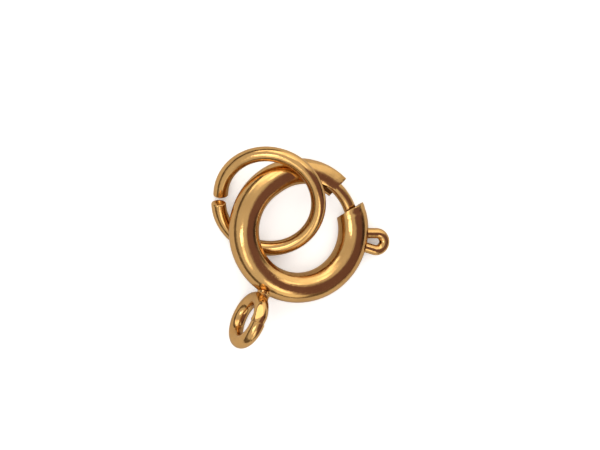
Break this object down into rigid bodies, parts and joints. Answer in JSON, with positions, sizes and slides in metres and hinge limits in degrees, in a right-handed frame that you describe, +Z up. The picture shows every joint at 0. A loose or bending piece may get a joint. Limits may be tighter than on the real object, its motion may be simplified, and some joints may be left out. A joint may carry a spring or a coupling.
{
  "type": "spring ring clasp",
  "caption": "Hollow ring clasp with a spring-loaded sliding bolt and thumb trigger, a soldered attaching loop and an open jump ring threaded through it",
  "frame": {"origin": "On the surface that the clasp lies on, under the middle of its bounding box", "axes": "+Z is up, away from the surface. The clasp lies nearly flat, with its ring leaning 8.9 degrees to its low side at -10 degrees from +X. +Y points from the attaching loop to the jump ring, and +X to the side of the trigger."},
  "size_m": [0.0088, 0.0098, 0.0028],
  "materials": {
    "clasp_body": "polished gold plate on rolled brass sheet",
    "bolt": "polished gold plate on brass wire",
    "coil_spring": "drawn spring wire",
    "jump_ring": "polished gold plate on brass wire"
  },
  "bodies": {
    "clasp": {"clasp_body": "clasp_body", "coil_spring": "coil_spring", "jump_ring": "jump_ring"},
    "bolt": {"bolt": "bolt"}
  },
  "joints": [
    {"name": "bolt_draw", "type": "hinge", "parent": "clasp", "child": "bolt", "pos_m": [-0.00016, 0.00084, 0.00116], "axis": [-0.1524, 0.0269, -0.988], "range_deg": [0, 34], "stiffness_Nm_per_rad": 0.002, "deforming": ["coil_spring"]}
  ]
}
